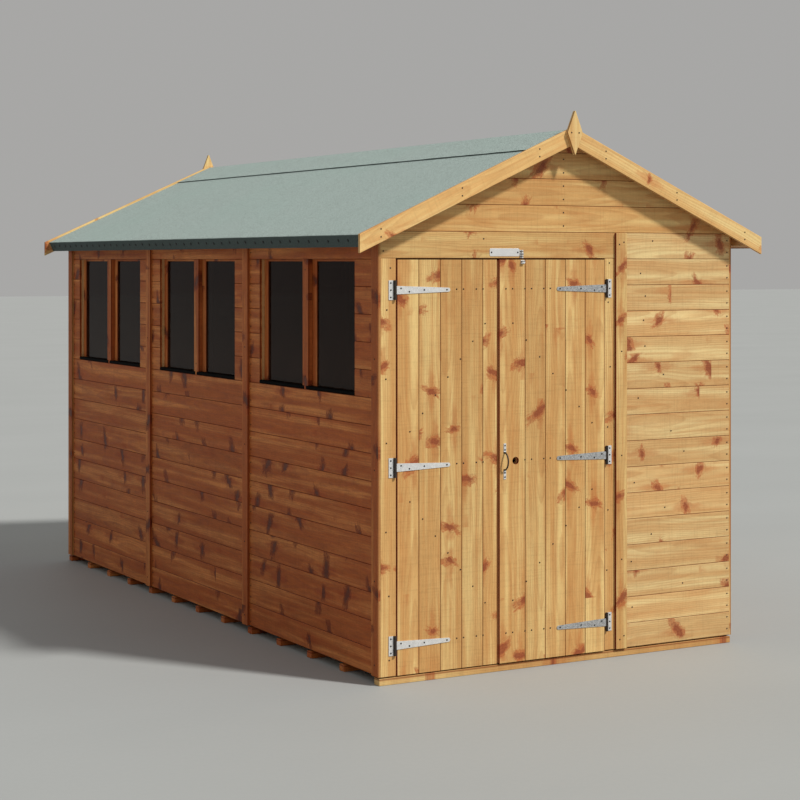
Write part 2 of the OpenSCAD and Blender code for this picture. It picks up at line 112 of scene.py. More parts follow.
class ShedColours(PropertyGroup):
    """Colours of the timber, felt and metal"""

    front: colour("End walls", "Timber of the doors and end walls", (0.57, 0.322, 0.114))
    front_pale: colour("End walls, sapwood", "Paler bands in that timber", (0.715, 0.5, 0.205))
    panel: colour("Front panel", "Timber of the boards beside the doors", (0.6, 0.372, 0.155))
    panel_pale: colour("Front panel, sapwood", "Paler bands in that timber", (0.735, 0.555, 0.262))
    # side and side_pale: the end walls' timber made darker and redder, as painted shade; it dresses the left
    # wall, its windows and strips, the trims' sides and the bearers under the side
    side: colour("Left wall", "Timber of the left wall, its windows and the trims", (0.4, 0.103, 0.022))
    side_pale: colour("Left wall, sapwood", "Paler bands in that timber", (0.6, 0.22, 0.06))
    # right and right_pale: half way between the end walls' timber and its painted-shade copy, so partly
    # painted shade
    right: colour("Right wall", "Timber of the side wall away from the windows", (0.5, 0.235, 0.08))
    right_pale: colour("Right wall, sapwood", "Paler bands in that timber", (0.66, 0.38, 0.15))
    trim: colour("Barge boards", "Timber of the barge boards and finials", (0.7, 0.44, 0.17))
    trim_pale: colour("Barge boards, sapwood", "Paler bands in that timber", (0.8, 0.59, 0.26))
    inner: colour("Framing", "Timber of the framing, floor and roof boards", (0.55, 0.32, 0.13))
    inner_pale: colour("Framing, sapwood", "Paler bands in that timber", (0.68, 0.46, 0.22))
    # edge: painted shade, not a stain: the dark red-brown put on the leaves' long edges, the finger hole's
    # wall and the end strips' side faces, where shade falls
    edge: colour("Shaded edges", "Stain gathered on the edges between the leaves", (0.27, 0.045, 0.016))
    knot: colour("Knots", "Middle of a knot", (0.25, 0.055, 0.022))
    felt: colour("Roof felt", "Mineral chips of the roof felt", (0.365, 0.455, 0.43))
    # eave: the roof felt made far darker where it folds down over the eaves: painted shade
    eave: colour("Eave felt", "Felt folded down over the eaves", (0.06, 0.085, 0.08))
    zinc: colour("Zinc", "Hinges and bolt", (0.86, 0.86, 0.85))
    floor: colour("Studio floor", "Plain floor that the shed stands on", (0.38, 0.398, 0.396))


def sizes():
    return bpy.context.scene.shed_sizes


def colours():
    return bpy.context.scene.shed_colours


# ---- finishes ----

class Wire:
    """A socket in a finish: sums written with it become the finish's nodes."""

    def __init__(self, finish, socket):
        self.finish = finish
        self.socket = socket

    def math(self, operation, *others):
        return self.finish.math(operation, self, *others)

    def __add__(self, other):
        return self.math("ADD", other)

    def __sub__(self, other):
        return self.math("SUBTRACT", other)

    def __rsub__(self, other):
        return self.finish.math("SUBTRACT", other, self)

    def __mul__(self, other):
        return self.math("MULTIPLY", other)

    def __truediv__(self, other):
        return self.math("DIVIDE", other)

    def __pow__(self, other):
        return self.math("POWER", other)

    def __lt__(self, other):
        return self.math("LESS_THAN", other)

    __radd__ = __add__
    __rmul__ = __mul__

    def fade(self, start, end):
        """0 at start, 1 at end and smooth between them."""
        values = {"Value": self, "From Min": start, "From Max": end}
        return self.finish.add("MapRange", {"interpolation_type": "SMOOTHSTEP"}, values)["Result"]

    def parts(self):
        """The three numbers of a vector or colour."""
        made = self.finish.add("SeparateXYZ", {}, {"Vector": self})
        return made["X"], made["Y"], made["Z"]


class Node:
    """A node just added: its outputs are wires, by name or place."""

    def __init__(self, finish, node):
        self.finish = finish
        self.node = node

    def __getitem__(self, key):
        return Wire(self.finish, self.node.outputs[key])


class Finish:
    """A material in the making."""

    def __init__(self, name):
        self.material = bpy.data.materials.new("shed_" + name)
        self.material.use_nodes = True
        self.tree = self.material.node_tree
        self.tree.nodes.clear()

    def add(self, kind, settings=None, values=None):
        """Adds a node: its settings first, then the values or wires of its sockets."""
        node = self.tree.nodes.new("ShaderNode" + kind)
        for key, value in (settings or {}).items():
            setattr(node, key, value)
        for key, value in (values or {}).items():
            if isinstance(value, Wire):
                self.tree.links.new(value.socket, node.inputs[key])
            else:
                node.inputs[key].default_value = value
        return Node(self, node)

    def math(self, operation, *values):
        return self.add("Math", {"operation": operation}, dict(enumerate(values)))[0]

    def vector(self, x, y, z):
        return self.add("CombineXYZ", {}, {"X": x, "Y": y, "Z": z})[0]

    def noise(self, x, y, z, detail=2.0, rough=0.5):
        """Noise from 0 to 1 about 0.5, with a grain of one unit each way."""
        values = {"Vector": self.vector(x, y, z), "Scale": 1.0, "Detail": detail, "Roughness": rough}
        return self.add("TexNoise", {}, values)["Fac"]

    def mix(self, share, under, over, blend="MIX"):
        """Colour under with a share of colour over it."""
        under, over = (c if isinstance(c, Wire) else (*c, 1.0) for c in (under, over))
        values = {0: share, 6: under, 7: over}
        return self.add("Mix", {"data_type": "RGBA", "blend_type": blend, "clamp_factor": True}, values)[2]

    def shade(self, colour, level):
        """A colour made lighter or darker by a number that changes over the surface."""
        grey = self.vector(level, level, level)
        return self.mix(1.0, colour, grey, "MULTIPLY")

    def bump(self, height, depth, strength):
        return self.add("Bump", {}, {"Height": height, "Distance": depth, "Strength": strength})["Normal"]

    def done(self, **values):
        """Ends the finish in a Principled shader and gives back the material."""
        named = {key.replace("_", " "): value for key, value in values.items()}
        shader = self.add("BsdfPrincipled", {}, named)
        out = self.add("OutputMaterial")
        self.tree.links.new(shader["BSDF"].socket, out.node.inputs["Surface"])
        return self.material


def tinted(colour, factor):
    return [min(1.0, c * f) for c, f in zip(colour, factor)]


def timber(name, base, pale, knots=0.5, knot_shade=1.0, knot_size=1.0,
           knot_red=(0.74, 0.35, 0.29), contrast=1.0):
    """Planed softwood with knots and rings, following each board's own grain and tone attributes."""
    f = Finish(name)
    along, across, depth = f.add("Attribute", {"attribute_name": "grain"})["Vector"].parts()
    tone = f.add("Attribute", {"attribute_name": "tone"})["Fac"]
    lane = tone * 37.0

    # Knots: one chance in each cell of the board, drawn out at a random slant and frayed at their edges
    cell_long, cell_wide = 0.33, 0.13
    spot = {"Vector": f.vector(along / cell_long, across / cell_wide + lane, 0), "Scale": 1.0,
            "Randomness": 0.75}
    flat = {"voronoi_dimensions": "2D"}
    near = f.add("TexVoronoi", flat, spot)
    inside = f.add("TexVoronoi", {**flat, "feature": "DISTANCE_TO_EDGE"}, spot)["Distance"]
    chance, turn, size = near["Color"].parts()
    middle_x, middle_y, _ = near["Position"].parts()
    warp = f.noise(along * 20, across * 20 + lane, 0, 5, 0.65) - 0.5
    weft = f.noise(along * 24, across * 24 + lane, 7, 5, 0.65) - 0.5
    off_long = along - middle_x * cell_long + warp * 0.05
    off_wide = across + lane * cell_wide - middle_y * cell_wide + weft * 0.045
    slant = (turn - 0.5) * 1.7
    sine, cosine = slant.math("SINE"), slant.math("COSINE")
    reach = off_long * sine + off_wide * cosine
    girth = off_long * cosine - off_wide * sine
    reach = reach / ((size * 0.022 + 0.012) * knot_size)
    girth = girth / ((size * 0.004 + 0.0075) * knot_size)
    away = (reach * reach + girth * girth) ** 0.5
    crowd = f.noise(along * 1.9, lane, 9, 1).fade(0.38, 0.6)
    present = (chance < crowd * knots) * inside.fade(0.0, 0.1)
    ray = f.math("ARCTAN2", girth, reach)
    petal = f.noise(ray * 1.1, turn * 40 + lane, away * 0.12, 3, 0.7)
    wisp = f.noise(ray * 5, away * 1.3 + lane, turn * 40, 3, 0.6)
    spread = (petal - 0.5) * 5.5 + 2.3
    fray = ((spread - away) * 0.8 + wisp * 1.4 - 0.7).fade(0.0, 0.7) * present
    core = (away.fade(1.5, 0.4) + wisp * 0.7 - 0.35).fade(0.2, 0.7) * present
    trail_long, trail_wide = off_long / 0.13, off_wide / 0.022
    trail = (trail_long * trail_long + trail_wide * trail_wide).fade(1.0, 0.0) * present
    halo = away.fade(3.4, 0.7) * present

    # Growth rings about a pith behind the board's face
    pith = ((tone * 7.13).math("FRACT") - 0.5) * 0.13
    drift = f.noise(along * 1.4, lane, 0, 1) - 0.5
    deep = (tone * 3.71).math("FRACT") * 0.07 + drift * 0.05 + 0.04
    side = across - pith + (f.noise(along * 3, across * 9, lane, 1) - 0.5) * 0.012
    inward = deep + depth
    radius = (side * side + inward * inward) ** 0.5 - halo * 0.007
    band = (radius / 0.0068 + f.noise(along * 2, across * 25, lane, 1)).math("FRACT")
    late = band.fade(0.25, 0.9) * band.fade(1.0, 0.92)

    # Fibres, bands and planing marks
    fibre = f.noise(along * 14, across * 620, depth * 620, 3)
    streak = f.noise(along * 2.2, across * 70 + lane, depth * 70, 2)
    sapwood = f.noise(along * 0.7, across * 17 + lane, depth * 6, 2)
    chatter = f.noise(along * 120, across * 7, lane, 2).fade(0.5, 0.68)
    blush = f.noise(along * 5, across * 12 + lane, 3.3, 3)
    mottle = f.noise(along * 55, across * 240, lane, 4, 0.7)

    # Colour: the wood's own, then rings, knots and unevenness, then painted shade with some dirt in the V
    # joints
    warm = tinted(base, (0.86, 0.62, 0.5))
    wood = f.mix(sapwood.fade(0.42, 0.66), base, pale)
    wood = f.mix(streak.fade(0.45, 0.75) * 0.45, wood, warm)
    wood = f.mix(blush.fade(0.52, 0.78) * 0.4, wood, warm)
    wood = f.mix(late * 0.3, wood, tinted(base, (0.72, 0.52, 0.42)))
    wood = f.mix(trail * 0.55, wood, tinted(base, (0.8, 0.5, 0.4)))
    wood = f.mix(fray * (wisp + 0.2) * (mottle * 1.4 + 0.25), wood, tinted(base, knot_red))
    wood = f.mix(core * (wisp * 0.8 + 0.3), wood, tinted(colours().knot, (knot_shade,) * 3))
    ring = (away * 1.7 + wisp * 0.7 + petal).math("FRACT").fade(0.5, 0.95) * away.fade(2.6, 1.0) * present
    wood = f.mix(ring * 0.45, wood, tinted(colours().knot, (0.8 * knot_shade,) * 3))
    # Painted shade, partly dirt: the V joints darkened by how deep they lie below the face
    groove = depth.fade(-0.0003, -0.002) * depth.fade(-0.008, -0.006)
    patch = f.noise(along * 8, across * 34 + lane, 5, 4, 0.65)
    level = (fibre - 0.5) * 0.34 * contrast + (mottle - 0.5) * 0.3 * contrast + (tone - 0.5) * 0.14
    level = level + (patch - 0.5) * 0.3 * contrast + 1.05 - chatter * 0.065
    wood = f.mix(groove * 0.75, f.shade(wood, level), tinted(base, (0.42, 0.2, 0.13)))

    height = fibre * 0.35 + late * 0.5 + chatter * 0.3 - core * 0.6
    rough = fibre * 0.2 + 0.52 - core * 0.12 - late * 0.06
    return f.done(Base_Color=wood, Roughness=rough, Specular_IOR_Level=0.22,
                  Normal=f.bump(height, 0.0005, 0.8))


def mineral_felt(name, chips):
    """Roofing felt: a bitumen sheet pressed full of coarse mineral chips."""
    f = Finish(name)
    place = f.add("TexCoord")["Object"]
    x, y, z = place.parts()
    grit = f.add("TexVoronoi", {}, {"Vector": place, "Scale": 420.0, "Randomness": 1.0})
    pick, worn, _ = grit["Color"].parts()
    clump = f.noise(x * 90, y * 90, z * 90, 4, 0.6)
    cloud = f.noise(x * 2.2, y * 1.3, z * 2.2, 3)
    run = f.noise(x * 0.8, y * 14, 0, 2)
    chip = f.mix(pick.fade(0.1, 0.95), tinted(chips, (0.78, 0.78, 0.78)), tinted(chips, (1.22, 1.2, 1.2)))
    chip = f.mix((worn < 0.06) * 0.7, chip, (0.03, 0.035, 0.035))
    chip = f.mix(cloud.fade(0.4, 0.75) * 0.3, chip, tinted(chips, (0.9, 0.98, 0.95)))
    chip = f.shade(chip, clump * 0.3 + run * 0.1 + 0.8)
    height = grit["Distance"] * -0.8 + clump
    return f.done(Base_Color=chip, Roughness=clump * 0.1 + 0.86, Normal=f.bump(height, 0.0012, 0.6))


def zinc_plate(name, base, dark_places, worn=0.3):
    """Zinc plated steel with its spangle, scuffs and a duller bloom, dark in places."""
    f = Finish(name)
    place = f.add("TexCoord")["Object"]
    x, y, z = place.parts()
    flake = f.add("TexVoronoi", {}, {"Vector": place, "Scale": 260.0, "Randomness": 1.0})
    lit, turn, _ = flake["Color"].parts()
    cloud = f.noise(x * 60, y * 60, z * 60, 4)
    scuff = f.noise(x * 700, y * 90, z * 900, 2)
    dark = dark_places(x, z)
    metal = f.mix(lit * worn, base, tinted(base, (0.4, 0.41, 0.43)))
    metal = f.mix(cloud.fade(0.5, 0.8) * 0.35, metal, tinted(base, (0.55, 0.56, 0.58)))
    metal = f.mix(dark, metal, f.mix(cloud, (0.018, 0.014, 0.012), (0.05, 0.035, 0.025)))
    rough = 0.34 + turn * 0.16 + cloud * 0.12 + dark * 0.08
    height = scuff * 0.4 + flake["Distance"] * 0.3
    return f.done(Base_Color=metal, Roughness=rough, Metallic=0.6 - dark * 0.4,
                  Normal=f.bump(height, 0.0002, 0.4))


def pane_glass(name):
    """Float glass with a film of dust that gathers low down."""
    f = Finish(name)
    x, y, z = f.add("TexCoord")["Object"].parts()
    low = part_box("window_glass")[0].z
    dust = f.noise(x * 9, y * 9, z * 6, 4) * z.fade(low + 0.35, low)
    smear = f.noise(x * 3, y * 3, z * 14, 3)
    # The pane's dark brown, mostly opaque colour is painted shade: the dark inside of the shed seen through
    # the glass
    tint = f.mix(dust * 0.2, (0.017, 0.007, 0.004), (0.1, 0.05, 0.03))
    return f.done(Base_Color=tint, Roughness=smear * 0.05 + 0.02, Alpha=dust * 0.1 + 0.76,
                  Specular_IOR_Level=0.05, IOR=1.5)


def black_bead(name):
    """Black drip bead, slightly grained and dusty in patches."""
    f = Finish(name)
    x, y, z = f.add("TexCoord")["Object"].parts()
    grain = f.noise(x * 400, y * 60, z * 400, 3)
    dust = f.noise(x * 20, y * 6, z * 20, 3)
    # Near black: partly the bead's own black, partly painted shade of the gap under the pane
    tint = f.mix(dust.fade(0.5, 0.85) * 0.3, (0.002, 0.002, 0.002), (0.012, 0.01, 0.009))
    return f.done(Base_Color=tint, Roughness=grain * 0.2 + 0.5, Specular_IOR_Level=0.02,
                  Normal=f.bump(grain, 0.0002, 0.5))


def dull_steel(name, base, spots, shine=0.55):
    """Fixings: steel with browned spots."""
    f = Finish(name)
    x, y, z = f.add("TexCoord")["Object"].parts()
    rust = f.noise(x * 240, y * 240, z * 240, 3)
    fleck = f.noise(x * 23, y * 23, z * 23, 1)
    tint = f.mix(rust.fade(0.4, 0.7), base, spots)
    return f.done(Base_Color=f.shade(tint, fleck * 0.8 + 0.6), Roughness=rust * 0.4 + 0.35,
                  Metallic=rust.fade(0.7, 0.4) * shine, Normal=f.bump(rust, 0.0003, 0.5))


def satin_plate(name):
    """Plain satin metal label, brushed and clouded."""
    f = Finish(name)
    x, y, z = f.add("TexCoord")["Object"].parts()
    brush = f.noise(x * 20, y * 20, z * 900, 3)
    cloud = f.noise(x * 30, y * 30, z * 30, 3)
    tint = f.mix(cloud, (0.62, 0.63, 0.64), (0.8, 0.8, 0.79))
    return f.done(Base_Color=f.shade(tint, brush * 0.3 + 0.85), Roughness=brush * 0.2 + 0.3, Metallic=0.35,
                  Normal=f.bump(brush, 0.0001, 0.4))


def studio_floor(name, base):
    """Plain pale floor with a faint trowelled cloudiness."""
    f = Finish(name)
    x, y, z = f.add("TexCoord")["Object"].parts()
    cloud = f.noise(x * 0.5, y * 0.9, 0, 3)
    fine = f.noise(x * 40, y * 40, 0, 3)
    tint = f.mix(cloud, tinted(base, (0.94,) * 3), tinted(base, (1.06,) * 3))
    return f.done(Base_Color=tint, Roughness=fine * 0.2 + 0.6, Normal=f.bump(fine, 0.0006, 0.2))


def hinge_barrels(x, z):
    """Where the hinges' barrels are: near either hinge axis."""
    low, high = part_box("hinge_plates")
    plate, knuckle = 0.022, 0.006
    left, right = low.x + plate + knuckle, high.x - plate - knuckle
    from_axis = (x - (left + right) / 2).math("ABSOLUTE") - (right - left) / 2
    return from_axis.math("ABSOLUTE").fade(knuckle + 0.0012, knuckle + 0.0002)


def handle_bow(x, z):
    """Where the handle's bow is: between its two flat tabs."""
    low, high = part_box("door_handle")
    tab = 0.036
    half = (high.z - low.z) / 2 - tab
    return (z - (low.z + high.z) / 2).math("ABSOLUTE").fade(half + 0.001, half)


def bolt_bands(x, z):
    """Dark bands round the bolt."""
    return ((z * 95).math("FRACT") - 0.5).math("ABSOLUTE").fade(0.34, 0.4)


def finish(name):
    """The named finish, made the first time that it is asked for."""
    if "shed_" + name in bpy.data.materials:
        return bpy.data.materials["shed_" + name]
    c = colours()
    make = {
        "front_timber": lambda: timber(name, c.front, c.front_pale, 1.1, 1.0, 1.2),
        "panel_timber": lambda: timber(name, c.panel, c.panel_pale, 0.95, 1.0, 1.3),
        # Painted shade: the end walls' timber made darker and redder, for surfaces seen in shade
        "side_timber": lambda: timber(name, c.side, c.side_pale, 1.0, 0.35, 1.4, (0.42, 0.24, 0.26), 2.3),
        # Partly painted shade: a timber half way between the end walls' and its shaded copy
        "part_shaded_right_timber": lambda: timber(name, c.right, c.right_pale, 0.9, 0.7, 1.3),
        "trim_timber": lambda: timber(name, c.trim, c.trim_pale, 0.8),
        "inner_timber": lambda: timber(name, c.inner, c.inner_pale, 0.4),
        "roof_felt": lambda: mineral_felt(name, c.felt),
        # Painted shade: the same felt made far darker, for the eave folds and the cap's edges
        "eave_felt": lambda: mineral_felt(name, c.eave),
        "window_glass": lambda: pane_glass(name),
        "window_bead": lambda: black_bead(name),
        "hinge_zinc": lambda: zinc_plate(name, c.zinc, hinge_barrels),
        "handle_metal": lambda: zinc_plate(name, c.zinc, handle_bow),
        "bolt_zinc": lambda: zinc_plate(name, c.zinc, bolt_bands),
        "nail_steel": lambda: dull_steel(name, (0.035, 0.018, 0.01), (0.012, 0.006, 0.004)),
        "screw_steel": lambda: dull_steel(name, (0.025, 0.025, 0.025), (0.01, 0.009, 0.008)),
        # Painted shade: timber in the dark red-brown edge colour, for edges and sides that lie in shade
        "painted_shade_edge": lambda: timber(name, c.edge, tinted(c.edge, (1.5, 1.6, 1.6)), 0.5),
        "hinge_worn_zinc": lambda: zinc_plate(name, tinted(c.zinc, (0.66, 0.67, 0.68)), hinge_barrels, 0.85),
        # Painted shade: galvanised clout heads made near black, as they look in shade
        "shaded_clout_steel": lambda: dull_steel(name, (0.008, 0.009, 0.009), (0.003, 0.003, 0.003), 0.1),
        "label_metal": lambda: satin_plate(name),
        "studio_floor": lambda: studio_floor(name, c.floor),
    }
    return make[name]()


# ---- modelling ----

def deselect():
    bpy.ops.object.select_all(action="DESELECT")


def block(low, high):
    """A block between two corners, active and alone selected."""
    deselect()
    bpy.ops.mesh.primitive_cube_add(size=1, location=(low + high) / 2)
    made = bpy.context.object
    made.scale = high - low
    bpy.ops.object.transform_apply(location=True, rotation=True, scale=True)
    return made


def edit(piece):
    deselect()
    piece.select_set(True)
    bpy.context.view_layer.objects.active = piece
    bpy.ops.object.mode_set(mode="EDIT")


def finish_edit():
    bpy.ops.object.mode_set(mode="OBJECT")


def pick(piece, kind, wanted):
    """Selects the wanted edges or faces, in edit mode."""
    bpy.ops.mesh.select_mode(type=kind)
    bpy.ops.mesh.select_all(action="DESELECT")
    shape = bmesh.from_edit_mesh(piece.data)
    for part in shape.edges if kind == "EDGE" else shape.faces:
        part.select_set(wanted(part))
    bmesh.update_edit_mesh(piece.data)


def pick_edges(piece, wanted):
    """Selects the edges whose middle and direction are wanted, in edit mode."""
    def chosen(edge):
        a, b = (v.co for v in edge.verts)
        return wanted((a + b) / 2, (b - a).normalized())

    pick(piece, "EDGE", chosen)


def pick_faces(piece, wanted):
    """Selects the faces whose middle and normal are wanted, in edit mode."""
    pick(piece, "FACE", lambda face: wanted(face.calc_center_median(), face.normal))


def ease(piece, width, wanted=lambda middle, way: True, segments=2):
    """Rounds the wanted edges."""
    edit(piece)
    pick_edges(piece, wanted)
    bpy.ops.mesh.bevel(offset=width, segments=segments, affect="EDGES")
    finish_edit()


def cut(piece, place, out):
    """Cuts away what lies on the out side of a plane and closes the cut."""
    edit(piece)
    bpy.ops.mesh.select_all(action="SELECT")
    bpy.ops.mesh.bisect(plane_co=place, plane_no=out, use_fill=True, clear_outer=True)
    finish_edit()


def turned(piece, matrix):
    """Moves a piece's mesh, keeping its faces outward when the move mirrors it."""
    piece.data.transform(matrix)
    if matrix.determinant() < 0:
        piece.data.flip_normals()
    piece.data.update()
    return piece


def placed(mesh, matrix):
    """An object with its own copy of a mesh, moved."""
    made = bpy.data.objects.new("copy", mesh.copy())
    bpy.context.collection.objects.link(made)
    return turned(made, matrix)


def join(pieces, name):
    deselect()
    for piece in pieces:
        piece.select_set(True)
    bpy.context.view_layer.objects.active = pieces[0]
    if len(pieces) > 1:
        bpy.ops.object.join()
    made = bpy.context.view_layer.objects.active
    made.name = name
    made.data.name = name
    return made


def extent_of(piece, way):
    """Reach of a piece along a direction, lowest first."""
    spread = [v.co.dot(way) for v in piece.data.vertices]
    return min(spread), max(spread)


def mark_grain(piece, along, out, draw):
    """Gives a board its own grain: how far each point is along it, across it and in front of its face."""
    across = out.cross(along)
    low, high = extent_of(piece, across)
    middle, face = (low + high) / 2, extent_of(piece, out)[1]
    start = draw.uniform(0, 40)
    marks = piece.data.attributes
    for name in ("grain", "tone"):
        if name in marks:
            marks.remove(marks[name])
    places = [(v.co.dot(along) + start, v.co.dot(across) - middle, v.co.dot(out) - face)
              for v in piece.data.vertices]
    marks.new("grain", "FLOAT_VECTOR", "POINT").data.foreach_set("vector", [n for p in places for n in p])
    marks.new("tone", "FLOAT", "POINT").data.foreach_set("value", [draw.random()] * len(places))


def extent(box, way):
    """Reach of a box along a direction, lowest first."""
    a, b = box[0].dot(way), box[1].dot(way)
    return min(a, b), max(a, b)


def corners(along, out, across, spans):
    """Two opposite corners of a block, from its reach along, across and out."""
    points = [along * spans[0][k] + across * spans[1][k] + out * spans[2][k] for k in (0, 1)]
    return [Vector(map(min, *points)), Vector(map(max, *points))]


def matchboard(box, along, out):
    """Tongued and grooved board that fills a box, with V edges on its face."""
    s = sizes()
    across = out.cross(along)
    spans = [extent(box, way) for way in (along, across, out)]
    back, face = spans[2]
    thick = face - back
    spans[1] = (spans[1][0] + s.joint / 2, spans[1][1] - s.joint / 2)
    board = block(*corners(along, out, across, spans))
    edit(board)
    pick_edges(board, lambda middle, way: abs(way.dot(along)) > 0.9 and middle.dot(out) > face - 1e-5)
    bpy.ops.mesh.bevel(offset=s.groove, segments=1, affect="EDGES")
    for side, reach, lip in ((1, s.tongue, 0.0), (-1, -s.tongue - SEAM, 0.0002)):
        pick_faces(board, lambda middle, normal: normal.dot(across) * side > 0.99)
        bpy.ops.mesh.inset(thickness=thick * 0.3 + lip, depth=0)
        bpy.ops.mesh.extrude_region_move(TRANSFORM_OT_translate={"value": across * (side * reach)})
    finish_edit()
    return board


def lay_boards(box, along, out, joints, draw, cuts=()):
    """Boards side by side across a box, split at the joints. Equal ones in a row are copies of one."""
    across = out.cross(along)
    low, high = extent(box, across)
    sign = across.x + across.y + across.z
    least = 0.012
    edges = [low] + sorted(j * sign for j in joints if low + least < j * sign < high - least) + [high]
    boards, last = [], None
    for a, b in zip(edges, edges[1:]):
        if last and abs((b - a) - last[1]) < 1e-6:
            made = placed(last[0], Matrix.Translation(across * (a - last[2])))
        else:
            spans = [extent(box, along), (a, b), extent(box, out)]
            made = matchboard(corners(along, out, across, spans), along, out)
            last = (made.data.copy(), b - a, a)
        boards.append(made)
    for board in boards:
        for place, way in cuts:
            cut(board, place, way)
        mark_grain(board, along, out, draw)
    return boards


def wall_joints(box):
    """Heights of the wall boards' joints, counted from the wall plate's height."""
    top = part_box("front_panel")[1].z
    below = 16  # board joints from the plate down to the floor
    count = int(box[1].z / sizes().course) + 6
    return [top + (k - below) * sizes().course for k in range(count)]


def copy_solids(node):
    """The separate solids of a CAD node as clean meshes of their own."""
    deselect()
    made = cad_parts[node].copy()
    made.data = made.data.copy()
    made.parent = None
    for key in list(made.keys()):
        del made[key]
    made.hide_render = made.hide_viewport = False
    made.data.materials.clear()
    bpy.context.collection.objects.link(made)
    edit(made)
    bpy.ops.mesh.select_all(action="SELECT")
    bpy.ops.mesh.remove_doubles(threshold=1e-5)
    bpy.ops.mesh.dissolve_limited(angle_limit=math.radians(0.5))
    bpy.ops.mesh.separate(type="LOOSE")
    finish_edit()
    found = list(bpy.context.selected_objects)
    return sorted(found, key=lambda o: [round(c, 4) for c in middle_of(o)])


def middle_of(piece):
    points = [v.co for v in piece.data.vertices]
    return sum(points, Vector()) / len(points)


def solid_boxes(node):
    """Lowest and highest corner of each separate solid of a CAD node, in order of place."""
    shape = bmesh.new()
    shape.from_mesh(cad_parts[node].data)
    bmesh.ops.remove_doubles(shape, verts=shape.verts, dist=1e-5)
    left = set(shape.verts)
    found = []
    while left:
        island, front = [], [left.pop()]
        while front:
            vert = front.pop()
            island.append(vert.co.copy())
            for edge in vert.link_edges:
                other = edge.other_vert(vert)
                if other in left:
                    left.remove(other)
                    front.append(other)
        found.append((Vector(map(min, *island)), Vector(map(max, *island))))
    shape.free()
    return sorted(found, key=lambda box: [round(c, 4) for c in box[0]])


def side_seams():
    """Where the side walls' panels meet: the middles of the left wall's cover strips."""
    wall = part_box("left_wall_lower")[0].x
    return [(low.y + high.y) / 2 for low, high in solid_boxes("cover_strips") if low.x < wall - 0.005]


def timbers(node, along, out, draw):
    """The node's solids as timbers with eased edges and grain along them."""
    made = copy_solids(node)
    for piece in made:
        ease(piece, sizes().eased)
        ways = [way(piece) if callable(way) else way for way in (along, out)]
        mark_grain(piece, *ways, draw)
    return made


def fit(pieces, name, look, *nodes, body="shed", slot=None):
    """Joins pieces into one that rides a body, wears a finish and stands for CAD nodes."""
    piece = join(pieces, name)
    piece.data.materials.clear()
    piece.data.materials.append(finish(look))
    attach(piece, body)
    if nodes:
        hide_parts(*nodes)
    return piece


def fit_timbers(node, along, out, draw, ending="_sawn", look="inner_timber"):
    """A node's timbers as one piece in one finish."""
    return fit(timbers(node, along, out, draw), node + ending, look, node)


def second_finish(piece, look, wanted):
    """Puts another finish on the wanted faces."""
    piece.data.materials.append(finish(look))
    for face in piece.data.polygons:
        if wanted(face):
            face.material_index = len(piece.data.materials) - 1


def dress(node, look):
    """Gives a CAD node that stays its finish."""
    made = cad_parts[node]
    made.data.materials.clear()
    made.data.materials.append(finish(look))
    made.data.polygons.foreach_set("material_index", [0] * len(made.data.polygons))


def disc(radius, vertices):
    """A low disc, in edit mode with its +Z face picked."""
    deselect()
    bpy.ops.mesh.primitive_cylinder_add(vertices=vertices, radius=radius, depth=radius * 0.5)
    made = bpy.context.object
    edit(made)
    pick_faces(made, lambda middle, normal: normal.z > 0.9)
    return made


def nail_head(radius):
    """A low domed head that faces +Z, standing just into the timber."""
    head = disc(radius, 10)
    bpy.ops.mesh.inset(thickness=radius * 0.4, depth=radius * 0.16)
    finish_edit()
    return head


def screw_head(radius):
    """A countersunk head that faces +Z, with a round recess."""
    head = disc(radius, 16)
    bpy.ops.mesh.inset(thickness=radius * 0.3, depth=radius * 0.12)
    bpy.ops.mesh.inset(thickness=radius * 0.22, depth=0)
    bpy.ops.mesh.extrude_region_move(TRANSFORM_OT_translate={"value": (0, 0, -radius * 0.4)})
    finish_edit()
    return head


def drive(head, points, out, name, look="nail_steel", body="shed"):
    """Copies a head to each point, facing out, as one piece."""
    turn = out.to_track_quat("Z", "Y").to_matrix().to_4x4()
    made = [placed(head.data, Matrix.Translation(p) @ turn) for p in points]
    bpy.data.objects.remove(head)
    return fit(made, name, look, body=body, slot="dark_metal")


def draws(salt):
    """Random numbers of one step, the same each run."""
    return random.Random(f"{sizes().seed} {salt}")


def roof_plane():
    """Height at which the two undersides of the roof boards meet."""
    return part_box("front_gable")[1].z + 0.0002


def slope_matrix(side):
    """Takes a flat layout (down the slope, along the ridge, out of the roof) to the right or left slope."""
    turn = Matrix.Rotation(sizes().pitch, 4, "Y")
    place = Matrix.Translation((0, 0, roof_plane())) @ turn
    return place if side > 0 else Matrix.Scale(-1, 4, X) @ place


# ---- operators ----

class ShedOperator(Operator):
    bl_options = {"REGISTER", "UNDO"}

    def execute(self, context):
        self.make()
        return {"FINISHED"}


